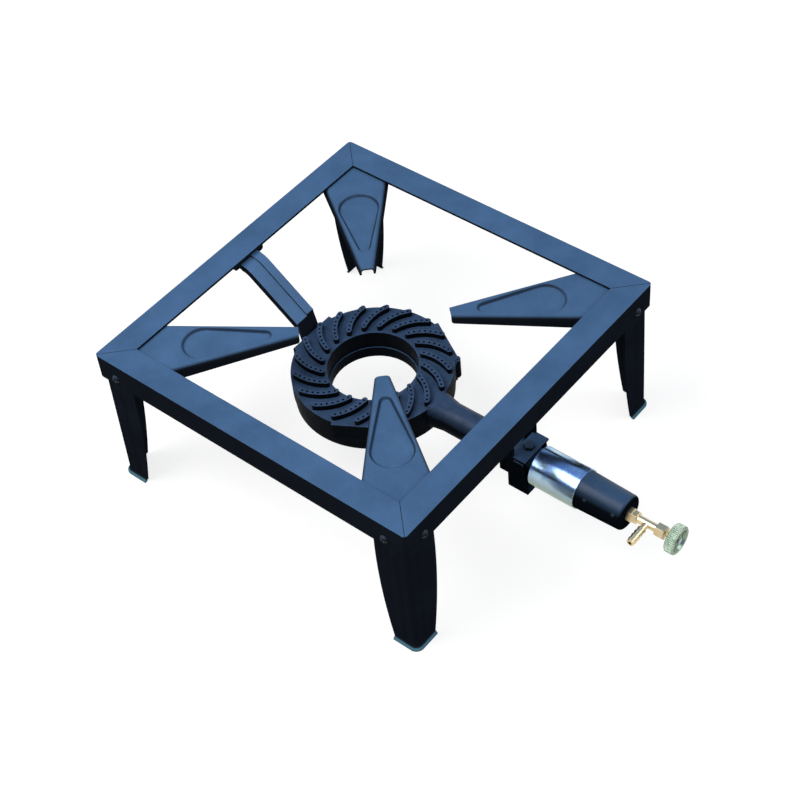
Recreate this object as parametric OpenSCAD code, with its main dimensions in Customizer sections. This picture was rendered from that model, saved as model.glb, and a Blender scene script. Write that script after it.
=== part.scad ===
// Low stock pot range: a welded square frame of angle iron on four pressed legs. Four pan
// supports reach in from its corners, and a cast ring burner hangs under them, fed along its
// neck by an air mixer and a needle valve. The front is the valve's side, along -Y.

/* [Stand] */
// Outside width of the square frame
frame_side = 400; // [360:5:480]
// Height of the frame's top over the floor
stand_h = 180; // [170:5:260]
// Width of each flange of the angle iron
angle_w = 30; // [28:1:34]
// Thickness of the angle iron
angle_t = 3; // [2.5:0.5:4]
// Radius of the frame's upright outer corners
corner_r = 4; // [2:0.5:6]
// Radius in the root of the angle iron
root_r = 3; // [2:0.5:4]

/* [Legs] */
// Thickness of the leg's sheet
leg_t = 2; // [1.5:0.25:3]
// Width of a leg's wing at its top
leg_top_w = 38.5; // [34:0.5:40]
// Width of a leg's wing at the foot
leg_foot_w = 28; // [24:0.5:32]
// How far the wing's free edge bows out
leg_bow = 5.5; // [3:0.25:6]
// Outer radius of the bend between the wings
leg_bend_r = 6; // [4:0.5:8]
// Degrees that a leg leans outwards
leg_splay = 1.2; // [0:0.1:2]
// How far the foot's lip flares out
lip_out = 3; // [2:0.25:5]
// Height of the foot's lip
lip_h = 3.5; // [3:0.25:6]
// How far the pressed rib stands out of the wing
rib_rise = 1.2; // [0.8:0.1:2]

/* [Pan supports] */
// Thickness of the pan support's sheet
arm_t = 2; // [1.5:0.25:3]
// Distance from the frame's centre to the tip of a pan support
tip_r = 77; // [70:1:90]
// Width of a pan support at its tip
tip_w = 16; // [14:0.5:20]
// Length of a pan support's root along each rail
root_len = 47; // [42:1:54]
// Depth of the side flange at the tip
tip_flange = 10; // [9:0.5:13]
// Depth of the side flange at the root
root_flange = 15; // [13:0.5:18]
// Depth of the pressed teardrop panel
panel_depth = 2; // [1:0.25:2.5]

/* [Burner] */
// Radius of the burner ring
ring_r = 86; // [80:1:92]
// Radius of the hole in the ring
hole_r = 48; // [44:1:50]
// Height of the upper casting
body_h = 21; // [19:1:24]
// Height of the lower casting
base_h = 13; // [12:1:18]
// How far the ring's top lies below the frame's top
ring_drop = 75; // [60:1:85]
// How far the ring's centre lies behind the frame's centre
ring_back = 10; // [0:1:15]
// Number of raised port ridges
ridge_count = 20; // [16:1:22]
// Width of a ridge
ridge_w = 5.75; // [4.5:0.25:6.5]
// Height of a ridge
ridge_h = 6.5; // [4:0.25:8]
// Number of ports along a ridge
port_count = 7; // [5:1:9]
// Bore of a port
port_d = 2.4; // [1.5:0.1:2.6]

/* [Neck and mixer] */
// Outer radius of the neck
neck_r = 16.3; // [15:0.1:17]
// Bore radius of the neck
neck_bore_r = 12; // [11:0.1:12.5]
// Radius of the mixer tube under the air shutter
seat_r = 20.25; // [19.8:0.05:20.5]
// Radius of the mixer tube's front end
tube_r = 18.8; // [18:0.1:19.4]
// Length of the mixer tube's front end
tube_len = 49.5; // [44:0.5:60]
// Length of the air shutter
shutter_len = 52.7; // [46:0.1:56]
// Wall of the air shutter
shutter_t = 1.2; // [1:0.1:1.5]
// Radial running clearance of a turning or sliding piece
run_gap = 0.07; // [0.04:0.01:0.1]

/* [Valve] */
// Radius of the valve's barrel
barrel_r = 4.25; // [4:0.05:4.6]
// Length of the valve's barrel between its two hexes
barrel_len = 22; // [20:0.5:26]
// Radius over the crests of the hose barb
barb_r = 4.5; // [4.3:0.05:5]
// Distance from the valve's axis to the end of the hose barb
barb_reach = 29.5; // [24:0.5:32]
// Radius of the spindle
spindle_r = 2; // [1.8:0.05:2.1]
// Radius of the knob
knob_r = 15.2; // [13:0.1:17]
// Thickness of the knob
knob_t = 10; // [9:0.5:12]
// Number of grooves in the knob's rim
knurl_count = 48; // [36:2:60]

/* [Hidden] */
$fn = 64;
cut = 1;

iron_blue = [0.13, 0.18, 0.25];
casting_black = [0.10, 0.12, 0.16];
bolt_zinc = [0.55, 0.57, 0.60];
chrome = [0.85, 0.87, 0.90];
brass = [0.85, 0.70, 0.42];
knob_silver = [0.72, 0.76, 0.68];
ring_white = [0.90, 0.90, 0.86];

// Frame: half widths of its outside and of its window, and the heights of its faces
half = frame_side / 2;
window = half - angle_w;
under_flange = stand_h - angle_t;
rail_bottom = stand_h - angle_w;

// Heights of the burner
ring_top = stand_h - ring_drop;
parting_z = ring_top - body_h;
ring_bottom = parting_z - base_h;

// The neck's axis and the places along it, counted forwards from the frame's centre
neck_drop = 13.8;
axis_z = ring_top - neck_drop;
mixer_gap = 3.8;
socket_depth = 12.2;
shutter_inset = 0.5;
collar_len = 2.5;
mixer_start = half + mixer_gap;
neck_end = mixer_start + socket_depth;
shutter_start = mixer_start + shutter_inset;
collar_end = shutter_start + shutter_len + collar_len;
tube_end = collar_end + tube_len;
jam_t = 4.5;
hex_t = 5.5;
gland_len = 9.5;
knob_gap = 6.5;
hex_start = tube_end + jam_t;
barrel_start = hex_start + hex_t;
gland_start = barrel_start + barrel_len;
gland_end = gland_start + gland_len;
knob_back = gland_end + knob_gap;
knob_front = knob_back + knob_t;

// Legs: the bend's outer corner stands a little inside the angle iron
leg_gap = 0.4;
leg_corner = half - angle_t - leg_gap;
leg_head_gap = 1;
leg_top = under_flange - root_r - leg_head_gap;
foot_over = 1.2;
lip_edge = 1.5;
rib_r = 12;
rib_place_share = 0.5;
rib_low = 4 * lip_h;
rib_high = rail_bottom - 3.5 * lip_h;
leg_chord = norm([leg_top_w - leg_foot_w, leg_top]);
leg_edge_r = leg_chord * leg_chord / (8 * leg_bow) + leg_bow / 2;
leg_normal = [leg_top, leg_foot_w - leg_top_w] / leg_chord;
leg_edge_mid = [(leg_top_w + leg_foot_w) / 2, leg_top / 2];
leg_edge_centre = leg_edge_mid - leg_normal * (leg_edge_r - leg_bow);

// The origin lies on the floor under the middle of the whole range, from lip to knob
back_reach = leg_corner + lip_out + leg_top * sin(leg_splay) / sqrt(2);
origin_y = (knob_front - back_reach) / 2;

// Leg bolts: M5 with pan heads
bolt_r = 2.5;
bolt_hole_r = 2.9;
bolt_head_r = 4.6;
bolt_head_t = 3;
bolt_dome_r = 5.5;
bolt_slot_w = 1.2;
bolt_slot_deep = 1.4;
nut_af = 8;
nut_t = 4;
nut_gap = 0.3;
thread_gap = 0.05;
bolt_tail = 1.5;
leg_bolt_place = 22.6;
leg_bolt_z = stand_h - 2 / 3 * angle_w;

// Pan supports
arm_top = under_flange;
arm_bend_r = 5;
arm_lap = 12;
root_half_w = root_len / sqrt(2);
root_dist = window * sqrt(2) - root_half_w;
arm_run = root_dist - tip_r;
arm_reach = root_dist + root_half_w + 2 * arm_lap;
arm_slope = (root_half_w - tip_w / 2) / arm_run;
arm_turn = atan(arm_slope);
flange_turn = atan((root_flange - tip_flange) / arm_run);
tip_corner_r = 3;
panel_wall = 1.2;
panel_far_share = 0.74;
panel_near_share = 0.26;
panel_far = tip_r + panel_far_share * arm_run;
panel_near = tip_r + panel_near_share * arm_run;
panel_far_r = 23;
panel_near_r = 7.5;

// Burner castings
ring_wall = 4.2;
ring_roof = 5;
base_floor = 4;
base_inset = 1.3;
hole_step = 1.5;
pad_dist = ring_r - 1;
pad_w = 58;
pad_turns = [90, 210, 330];
lug_turns = [228, 312];
lug_w = 16;
lug_out = 1;
lug_h = 20;
boss_r = 4.6;
boss_dist = ring_r + 0.8;
ear_h = 4;
screw_r = 2;
screw_head_r = 3.5;
screw_head_t = 2.5;
screw_head_gap = 0.3;
screw_slot_w = 0.9;
screw_len = 14;
neck_root_r = 20;
neck_root_len = 24;
neck_root_sink = 0.5;
neck_root_place = ring_r - ring_back - 0.8 * ring_wall;
neck_notch_gap = 0.3;
neck_mouth = ring_r - ring_back - 2 * ring_wall;
strap_boss_r = 8;
strap_boss_dist = ring_r - 18;

// Ridges: arcs that leave the hole steeply and bend clockwise towards the rim
ridge_in = hole_r + ridge_w / 2 + 2.3;
ridge_out = ring_r - ridge_w / 2 - 2.1;
ridge_phase = -4.7;
ridge_sweep = 20.8;
ridge_bow = 3.5;
ridge_end_inset = 0.06;
port_first = 0.04;
port_last = 0.96;
ridge_a = [ridge_in, 0];
ridge_b = ridge_out * [cos(ridge_sweep), -sin(ridge_sweep)];
ridge_chord = norm(ridge_b - ridge_a);
ridge_bend = ridge_chord * ridge_chord / (8 * ridge_bow) + ridge_bow / 2;
ridge_normal = [ridge_a.y - ridge_b.y, ridge_b.x - ridge_a.x] / ridge_chord;
ridge_centre = (ridge_a + ridge_b) / 2 - ridge_normal * (ridge_bend - ridge_bow);
ridge_start = atan2(ridge_a.y - ridge_centre.y, ridge_a.x - ridge_centre.x);
ridge_stop = atan2(ridge_b.y - ridge_centre.y, ridge_b.x - ridge_centre.x);
ridge_turn = ridge_start - ridge_stop;

// Stirrup under the front rail; its outline is counted forwards and up
stirrup_t = 2.5;
stirrup_x = 20;
hanger_start = window - 1.5;
hanger_w = 17;
shoulder_r = 4;
shoulder_place = half - 2.5;
toe_place = half + 2.6;
toe_start = window + 8.5;
heel_z = parting_z - 1.5;
toe_z = ring_bottom - 7.5;
web_gap = 0.3;
web_z = axis_z + neck_r + web_gap;
web_start = window + 12;
web_len = 18;
stirrup_foot = 10;
stirrup_bolt_place = web_start + web_len / 2;
stirrup_bolt_r = 3;
stirrup_bolt_af = 10;
stirrup_bolt_head_t = 4;
stirrup_bolt_len = 6;

// Strap from the back rail to the burner's back pad
strap_t = 2.5;
strap_w = 26;
strap_flange = 8;
strap_step_x = 4.5;
strap_step = 1.75;
strap_step_wall = 1.5;
pad_y = ring_back + pad_dist;
strap_knee_z = ring_top - 3;
strap_fold_y = pad_y + 5.5;
strap_fold_z = ring_top + 19.2;
strap_head_r = 26;
strap_head_z = under_flange - 5.2;
tee_y = window + 2;
strap_centre_z = strap_head_z - strap_head_r;
strap_reach = norm([tee_y - strap_fold_y, strap_centre_z - strap_fold_z]);
strap_turn = atan2(strap_centre_z - strap_fold_z, tee_y - strap_fold_y) + asin(strap_head_r / strap_reach);
strap_len = sqrt(strap_reach * strap_reach - strap_head_r * strap_head_r);
strap_over = 20;
strap_tab_in = 0.5;
tee_w = 44;
tee_h = 8;
tee_r = 3;
tongue_h = 12;
strap_foot = 20;
strap_low = parting_z - 4;
strap_bolt_z = parting_z + 5.5;
strap_bolt_r = 4;
strap_hole_r = 4.3;
strap_bolt_af = 13;
strap_bolt_head_t = 5.3;
strap_bolt_len = 15;
strap_hole_over = 1;

// Mixer tube and shutter
mixer_bore_r = 16;
fit_gap = 0.05;
end_wall = 5;
end_round = 3;
window_turns = [-100, -20];
window_arc = 38;
window_start = neck_end + 3;
window_len = 27;
slit_turn = 48;
slit_w = 1.2;
shutter_bore_r = seat_r + run_gap;
tube_screw_turn = 151;
tube_screw_r = 2;
tube_screw_len = 3;
tube_screw_inset = 0.3;
tube_slot_w = 0.6;
tube_screw_places = [collar_end + 9, tube_end - 8.5];

// Valve
stem_r = 5;
stem_hole_r = 5.1;
hex_af = 12;
jam_af = 14;
gland_af = 13;
stem_len = 10;
stem_start = tube_end - end_wall - stem_len;
jet_af = 11;
jet_hex_len = 5;
jet_cone_len = 7;
jet_start = stem_start - jet_hex_len - jet_cone_len;
jet_tip_r = 2.2;
jet_root_r = 4;
jet_spigot_r = 3;
jet_spigot_len = 6;
jet_orifice_r = 0.6;
jet_feed_r = 1.5;
passage_r = 1.5;
seat_hole_r = 1;
seat_place = barrel_start + 2.5;
seat_len = 4;
chamber_r = 2.6;
needle_tip_r = 0.5;
needle_len = 3.5;
needle_gap = 0.3;
barb_place = barrel_start + barrel_len / 2 - 0.7;
barb_neck_r = 3.4;
barb_root_r = 3.5;
barb_bore_r = 2.1;
barb_start = 9;
barb_count = 4;
barb_land = 0.8;
barb_pitch = (barb_reach - barb_start) / barb_count;
gland_bore_r = barrel_r + 0.1;
gland_front_t = 1.5;
barrel_in = 4.6;
packing_t = 3;
knob_chamfer = 1;
knob_dish_r = 12;
knob_dish = 3;
knob_crown_r = 5;
knob_crown = 1.2;
knob_face = knob_t - knob_dish + knob_crown;
knob_hub_r = 6;
knob_hub_len = 3;
knurl_r = 0.75;
spindle_in = 5;
knob_screw_r = 1.25;
knob_screw_hole_r = 1.32;
knob_screw_head_r = 3;
knob_screw_head_t = 1.5;
knob_screw_len = 8;
knob_slot_w = 0.8;
knob_slot_deep = 0.8;

// Puts a piece that is drawn about the frame's centre in its place over the origin
module placed() {
    translate([0, origin_y, 0]) children();
}

// Turns a front piece to the side k: 0 front, 1 right, 2 back, 3 left
module side(k) {
    rotate(90 * k) children();
}

// Draws along the neck's axis, forwards from a place on it, with +Y upwards
module on_axis(place) {
    translate([0, -place, axis_z]) rotate([90, 0, 0]) children();
}

module hex_prism(af, h) {
    cylinder(r = af / sqrt(3), h = h, $fn = 6);
}

module hex_bolt(r, af, head_t, len) {
    hex_prism(af, head_t);
    translate([0, 0, -len]) cylinder(r = r, h = len + cut);
}

// Frame

module rounded_square(s, r) {
    for (x = [-1, 1], y = [-1, 1])
        translate([x * (s / 2 - r), y * (s / 2 - r)]) circle(r = r);
    square([s, s - 2 * r], center = true);
    square([s - 2 * r, s], center = true);
}

// Section of the angle iron of the front rail, with its heel outside and on top
module angle_section() {
    difference() {
        translate([-half, rail_bottom]) square([angle_w, angle_w]);
        translate([-half + angle_t + root_r, rail_bottom - cut])
            square([angle_w, angle_w - angle_t + cut]);
        translate([-half + angle_t, rail_bottom - cut])
            square([angle_w, angle_w - angle_t - root_r + cut]);
        translate([-half + angle_t + root_r, under_flange - root_r]) circle(r = root_r);
    }
}

module rail(k) {
    side(k) difference() {
        intersection() {
            rotate([90, 0, 90]) translate([0, 0, -half]) linear_extrude(frame_side) angle_section();
            linear_extrude(stand_h) polygon([[0, 0], [-half, -half], [half, -half]]);
            linear_extrude(stand_h) rounded_square(frame_side, corner_r);
        }
        for (x = [-1, 1])
            translate([x * (leg_corner - leg_bolt_place), -half - cut, leg_bolt_z])
                rotate([-90, 0, 0]) cylinder(r = bolt_hole_r, h = angle_t + 2 * cut);
    }
}

module rail_front() { color(iron_blue) placed() rail(0); }
module rail_right() { color(iron_blue) placed() rail(1); }
module rail_back() { color(iron_blue) placed() rail(2); }
module rail_left() { color(iron_blue) placed() rail(3); }

// Legs: drawn with the outer corner at the origin and the wings along +X and +Y

// One wing, along +X, with its outer face on y = 0
module wing_plate() {
    intersection() {
        translate([leg_bend_r, 0, lip_h]) cube([leg_top_w + leg_bow, leg_t, leg_top - lip_h]);
        translate([leg_edge_centre.x, -cut, leg_edge_centre.y])
            rotate([-90, 0, 0]) cylinder(r = leg_edge_r, h = leg_t + 2 * cut, $fn = 256);
    }
}

module capsule(r) {
    translate([0, 0, rib_low]) cylinder(r = r, h = rib_high - rib_low);
    for (z = [rib_low, rib_high]) translate([0, 0, z]) sphere(r = r);
}

module wing() {
    place = [leg_bend_r + rib_place_share * (leg_foot_w - leg_bend_r), rib_r - rib_rise, 0];
    difference() {
        union() {
            wing_plate();
            intersection() {
                translate(place) capsule(rib_r);
                translate([0, -rib_r, 0]) cube([2 * leg_top_w, rib_r + leg_t, leg_top]);
            }
        }
        translate(place) capsule(rib_r - leg_t);
        translate([leg_bolt_place, -cut, leg_bolt_z])
            rotate([-90, 0, 0]) cylinder(r = bolt_hole_r, h = leg_t + 2 * cut);
    }
    translate([leg_bend_r, 0, 0]) rotate([90, 0, 90]) linear_extrude(leg_foot_w - leg_bend_r)
        mirror([1, 0]) lip_section();
}

// Section of the foot's lip: outwards from the leg's face is +X
module lip_section() {
    slant = leg_t * norm([lip_out, lip_h]) / lip_h;
    polygon([
        [-leg_t, lip_h], [-leg_t, lip_h + lip_edge], [0, lip_h + lip_edge], [lip_out, lip_edge],
        [lip_out, -foot_over], [lip_out - slant, -foot_over], [lip_out - slant, 0]
    ]);
}

module leg_bend() {
    translate([leg_bend_r, leg_bend_r, 0]) rotate_extrude(angle = 90, start = 180) {
        translate([leg_bend_r - leg_t, lip_h]) square([leg_t, leg_top - lip_h]);
        translate([leg_bend_r, 0]) lip_section();
    }
}

module leg(k) {
    intersection() {
        side(k) translate([-leg_corner, -leg_corner, leg_top])
            rotate(a = -leg_splay, v = [1, -1, 0]) translate([0, 0, -leg_top]) {
                leg_bend();
                wing();
                mirror([1, -1, 0]) wing();
            }
        translate([-frame_side, -frame_side, 0]) cube([2 * frame_side, 2 * frame_side, stand_h]);
    }
}

module leg_front_left() { color(iron_blue) placed() leg(0); }
module leg_front_right() { color(iron_blue) placed() leg(1); }
module leg_back_right() { color(iron_blue) placed() leg(2); }
module leg_back_left() { color(iron_blue) placed() leg(3); }

// Puts a fastener at each of the eight leg bolts, with +Z out of the rail's wall
module each_leg_bolt(depth) {
    for (k = [0 : 3], x = [-1, 1])
        side(k) translate([x * (leg_corner - leg_bolt_place), -depth, leg_bolt_z])
            rotate([90, 0, 0]) children();
}

// Domed head with a cross cut into it, over a plain shank
module pan_bolt(len) {
    difference() {
        intersection() {
            cylinder(r = bolt_head_r, h = bolt_head_t);
            translate([0, 0, bolt_head_t - bolt_dome_r]) sphere(r = bolt_dome_r);
        }
        for (t = [0, 90])
            rotate(t) translate([-bolt_head_r / 2, -bolt_slot_w / 2, bolt_head_t - bolt_slot_deep])
                cube([bolt_head_r, bolt_slot_w, bolt_slot_deep + cut]);
    }
    translate([0, 0, -len]) cylinder(r = bolt_r, h = len + cut);
}

module leg_bolts() {
    grip = angle_t + leg_gap + leg_t + nut_gap + nut_t + bolt_tail;
    color(casting_black) placed() each_leg_bolt(half) pan_bolt(grip);
}

module leg_nuts() {
    color(casting_black) placed()
        each_leg_bolt(leg_corner - leg_t - nut_gap - nut_t) difference() {
            hex_prism(nut_af, nut_t);
            translate([0, 0, -cut]) cylinder(r = bolt_r + thread_gap, h = nut_t + 2 * cut);
        }
}

// Pan supports: drawn along +X from the frame's centre

// The material within one side edge, which is round on top, drawn in by inset
module arm_side(inset, top, r) {
    low = top - root_flange - inset;
    translate([tip_r, tip_w / 2, 0]) rotate(arm_turn) translate([-arm_run, 0, 0])
        rotate([90, 0, 90]) linear_extrude(3 * arm_run) {
            translate([-arm_run, low]) square([arm_run - inset - r, top - low]);
            translate([-arm_run, low]) square([arm_run - inset, top - low - r]);
            translate([-inset - r, top - r]) circle(r = r);
        }
}

// A bar between both side edges, as deep as the root's flange, from the distance near
module arm_bar(inset, top, r, near) {
    intersection() {
        arm_side(inset, top, r);
        mirror([0, 1, 0]) arm_side(inset, top, r);
        translate([near, -arm_reach, 0]) cube([arm_reach - near, 2 * arm_reach, stand_h]);
    }
}

module arm_shell() {
    difference() {
        arm_bar(0, arm_top, arm_bend_r, tip_r);
        arm_bar(arm_t, arm_top - arm_t, arm_bend_r - arm_t, tip_r - cut);
        translate([tip_r, -arm_reach, arm_top - tip_flange]) rotate([0, flange_turn, 0])
            translate([-root_flange, 0, -root_flange])
                cube([2 * arm_reach, 2 * arm_reach, root_flange]);
        difference() {
            translate([tip_r - cut, -tip_w, arm_top - tip_flange - cut])
                cube([tip_corner_r + cut, 2 * tip_w, tip_corner_r + cut]);
            translate([tip_r + tip_corner_r, tip_w + cut, arm_top - tip_flange + tip_corner_r])
                rotate([90, 0, 0]) cylinder(r = tip_corner_r, h = 2 * tip_w + 2 * cut);
        }
    }
}

// Teardrop of two circles and their tangents, drawn in by inset
module teardrop(inset) {
    big = panel_far_r - inset;
    small = panel_near_r - inset;
    lean = acos((big - small) / (panel_far - panel_near));
    left = [-cos(lean), sin(lean)];
    right = [-cos(lean), -sin(lean)];
    translate([panel_far, 0]) circle(r = big);
    translate([panel_near, 0]) circle(r = small);
    polygon([
        [panel_far, 0] + big * left, [panel_near, 0] + small * left,
        [panel_near, 0] + small * right, [panel_far, 0] + big * right
    ]);
}

module pan_support(k) {
    rotate(225 + 90 * k) intersection() {
        difference() {
            union() {
                arm_shell();
                translate([0, 0, arm_top - arm_t - panel_depth]) linear_extrude(arm_t) teardrop(0);
            }
            translate([0, 0, arm_top - panel_depth]) linear_extrude(panel_depth + cut)
                teardrop(panel_wall);
        }
        linear_extrude(stand_h) rotate(45) square(2 * (window + arm_lap), center = true);
    }
}

module pan_support_front_left() { color(iron_blue) placed() pan_support(0); }
module pan_support_front_right() { color(iron_blue) placed() pan_support(1); }
module pan_support_back_right() { color(iron_blue) placed() pan_support(2); }
module pan_support_back_left() { color(iron_blue) placed() pan_support(3); }

// Burner: its castings are drawn about the ring's own centre

module at_ring() {
    placed() translate([0, ring_back, 0]) children();
}

// A rod along the neck's axis, between two places on it
module neck_rod(r, from, to) {
    translate([0, -ring_back, 0]) on_axis(from) cylinder(r = r, h = to - from);
}

module ring_outline() {
    difference() {
        union() {
            circle(r = ring_r, $fn = 128);
            for (a = pad_turns)
                rotate(a) translate([ring_r / 2, -pad_w / 2]) square([pad_dist - ring_r / 2, pad_w]);
        }
        for (a = pad_turns)
            rotate(a) translate([pad_dist, -pad_w / 2]) square([ring_r, pad_w]);
    }
}

// The point at a share of a ridge's centre line
function ridge_point(share) =
    let (place = ridge_start - share * ridge_turn)
    ridge_centre + ridge_bend * [cos(place), sin(place)];

module ridge_outline() {
    for (share = [0, 1])
        translate(ridge_point(share)) circle(r = ridge_w / 2 - ridge_end_inset, $fn = 24);
    translate(ridge_centre) intersection() {
        difference() {
            circle(r = ridge_bend + ridge_w / 2, $fn = 128);
            circle(r = ridge_bend - ridge_w / 2, $fn = 128);
        }
        polygon([
            [0, 0], 2 * ridge_bend * [cos(ridge_start), sin(ridge_start)],
            2 * ridge_bend * [cos(ridge_stop), sin(ridge_stop)]
        ]);
    }
}

module each_ridge() {
    for (i = [0 : ridge_count - 1]) rotate(ridge_phase + 360 / ridge_count * i) children();
}

module ports_outline() {
    each_ridge() for (i = [0 : port_count - 1])
        translate(ridge_point(port_first + (port_last - port_first) * i / (port_count - 1)))
            circle(r = port_d / 2, $fn = 16);
}

// The ring's roof and the ridges on it, both pierced by the ports
module burner_roof() {
    translate([0, 0, ring_top - ring_roof]) linear_extrude(ring_roof) difference() {
        ring_outline();
        circle(r = hole_r, $fn = 128);
        ports_outline();
    }
    translate([0, 0, ring_top]) linear_extrude(ridge_h) difference() {
        each_ridge() ridge_outline();
        ports_outline();
    }
}

module channel_outline() {
    difference() {
        circle(r = ring_r - ring_wall, $fn = 128);
        circle(r = hole_r + ring_wall, $fn = 128);
    }
}

module lug_outline() {
    translate([ring_r - 2 * ring_wall, -lug_w / 2]) square([2 * ring_wall + lug_out, lug_w]);
    translate([boss_dist, 0]) circle(r = boss_r);
}

// The ring's walls below its roof, with the boss that takes the strap's bolt
module burner_walls() {
    translate([0, 0, parting_z]) linear_extrude(body_h - ring_roof) difference() {
        ring_outline();
        circle(r = hole_r, $fn = 128);
        channel_outline();
    }
    intersection() {
        translate([0, strap_boss_dist, strap_bolt_z]) rotate([-90, 0, 0])
            cylinder(r = strap_boss_r, h = ring_r - ring_wall / 2 - strap_boss_dist);
        translate([-pad_w, 0, parting_z]) cube([2 * pad_w, 2 * ring_r, body_h - ring_roof]);
    }
    for (a = lug_turns) rotate(a)
        translate([0, 0, parting_z]) linear_extrude(lug_h) difference() {
            lug_outline();
            circle(r = ring_r - ring_wall, $fn = 128);
        }
}

// The neck and the flare that joins it to the ring
module neck_solid() {
    low = parting_z - axis_z;
    neck_rod(neck_r, neck_root_place, neck_end);
    translate([0, -ring_back, 0]) on_axis(neck_root_place) intersection() {
        cylinder(r1 = neck_root_r, r2 = neck_r - neck_root_sink, h = neck_root_len);
        translate([-ring_r, low, 0]) cube([2 * ring_r, neck_r - neck_root_sink - low, ring_r]);
    }
}

module burner_body() {
    color(casting_black) at_ring() difference() {
        union() {
            burner_roof();
            burner_walls();
            neck_solid();
        }
        neck_rod(neck_bore_r, neck_mouth, neck_end + cut);
        for (a = lug_turns) rotate(a) translate([boss_dist, 0, parting_z - cut])
            cylinder(r = screw_r + thread_gap, h = screw_len - ear_h + 2 * cut);
        translate([0, pad_dist + cut, strap_bolt_z]) rotate([90, 0, 0])
            cylinder(r = strap_bolt_r + thread_gap, h = strap_bolt_len - strap_t + strap_hole_over + cut);
        translate([0, -ring_back - stirrup_bolt_place, web_z + stirrup_t - stirrup_bolt_len - thread_gap])
            cylinder(r = stirrup_bolt_r + thread_gap, h = neck_r);
    }
}

module burner_base() {
    color(casting_black) at_ring() difference() {
        union() {
            translate([0, 0, ring_bottom])
                cylinder(r = ring_r - base_inset, h = base_h, $fn = 128);
            for (a = lug_turns) rotate(a)
                translate([0, 0, parting_z - ear_h]) linear_extrude(ear_h) lug_outline();
        }
        translate([0, 0, ring_bottom - cut])
            cylinder(r = hole_r - hole_step, h = base_h + 2 * cut, $fn = 128);
        translate([0, 0, ring_bottom + base_floor]) linear_extrude(base_h) channel_outline();
        neck_rod(neck_r + neck_notch_gap, neck_mouth, 2 * ring_r);
        for (a = lug_turns) rotate(a) translate([boss_dist, 0, ring_bottom - cut]) {
            cylinder(r = screw_r + thread_gap, h = base_h + 2 * cut);
            cylinder(r = screw_head_r + screw_head_gap, h = base_h - ear_h + cut);
        }
    }
}

module base_screws() {
    color(bolt_zinc) at_ring() for (a = lug_turns)
        rotate(a) translate([boss_dist, 0, parting_z - ear_h]) difference() {
            union() {
                translate([0, 0, -screw_head_t]) cylinder(r = screw_head_r, h = screw_head_t);
                cylinder(r = screw_r, h = screw_len);
            }
            for (t = [0, 90]) rotate(t) translate([0, 0, -screw_head_t])
                cube([screw_head_r, screw_slot_w, screw_head_t], center = true);
        }
}

// Stirrup

// Outline of a side plate: forwards from the frame's centre is +X and up is +Y
module stirrup_outline() {
    polygon([
        [hanger_start, under_flange], [hanger_start, heel_z], [toe_start, heel_z],
        [toe_start, toe_z], [toe_place, toe_z], [shoulder_place, ring_top - shoulder_r],
        [shoulder_place - shoulder_r, ring_top], [hanger_start + hanger_w, ring_top],
        [hanger_start + hanger_w, under_flange]
    ]);
    translate([shoulder_place - shoulder_r, ring_top - shoulder_r]) circle(r = shoulder_r);
}

module stirrup_plate(x) {
    translate([x, 0, 0]) rotate([90, 0, -90]) translate([0, 0, -stirrup_t])
        linear_extrude(stirrup_t) stirrup_outline();
}

module neck_stirrup() {
    color(casting_black) placed() difference() {
        union() {
            stirrup_plate(stirrup_x - stirrup_t);
            stirrup_plate(-stirrup_x);
            translate([-stirrup_x, -toe_place, toe_z])
                cube([2 * stirrup_x, toe_place - toe_start, stirrup_t]);
            translate([-stirrup_x, -web_start - web_len, web_z])
                cube([2 * stirrup_x, web_len, stirrup_t]);
            translate([-stirrup_x - stirrup_foot, -hanger_start - hanger_w, under_flange - stirrup_t])
                cube([stirrup_foot + stirrup_t, hanger_w, stirrup_t]);
            translate([stirrup_x - stirrup_t, -hanger_start - hanger_w, under_flange - stirrup_t])
                cube([stirrup_foot + stirrup_t, hanger_w, stirrup_t]);
        }
        translate([0, -stirrup_bolt_place, web_z - cut])
            cylinder(r = stirrup_bolt_r + run_gap, h = stirrup_t + 2 * cut);
    }
}

module stirrup_bolt() {
    color(casting_black) placed() translate([0, -stirrup_bolt_place, web_z + stirrup_t])
        hex_bolt(stirrup_bolt_r, stirrup_bolt_af, stirrup_bolt_head_t, stirrup_bolt_len);
}

// Strap

// Section of the strap: across is +X and out of its top face is +Y
module strap_flanges() {
    translate([-strap_w / 2, -strap_flange]) square([strap_t, strap_flange]);
    translate([strap_w / 2 - strap_t, -strap_flange]) square([strap_t, strap_flange + strap_step]);
}

module strap_section() {
    translate([-strap_w / 2, -strap_t]) square([strap_w / 2 + strap_step_x, strap_t]);
    translate([strap_step_x - strap_step_wall, strap_step - strap_t])
        square([strap_w / 2 - strap_step_x + strap_step_wall, strap_t]);
    strap_flanges();
}

// The sloping length, cut upright at the fold
module strap_run() {
    intersection() {
        translate([0, tee_y, strap_centre_z]) rotate([90 + strap_turn, 0, 0])
            translate([0, strap_head_r, 0]) linear_extrude(strap_len + strap_over) strap_section();
        translate([-strap_w, strap_fold_y, strap_low])
            cube([2 * strap_w, tee_y - strap_fold_y, under_flange - strap_low]);
    }
}

// The head, bent from the slope to level
module strap_head() {
    translate([0, tee_y, strap_centre_z]) rotate([90, 0, 90])
        rotate_extrude(angle = strap_turn, start = 90)
            translate([strap_head_r, 0]) mirror([1, -1]) strap_section();
}

// The tab that is bolted to the burner, upright below its knee and leaning back above it
module strap_tab() {
    top = strap_fold_z - strap_tab_in;
    rotate([90, 0, 90]) translate([0, 0, -strap_w / 2]) linear_extrude(strap_w) polygon([
        [pad_y, strap_low], [pad_y + strap_t, strap_low], [pad_y + strap_t, strap_knee_z],
        [strap_fold_y + strap_t, top], [strap_fold_y, top], [pad_y, strap_knee_z]
    ]);
}

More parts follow.
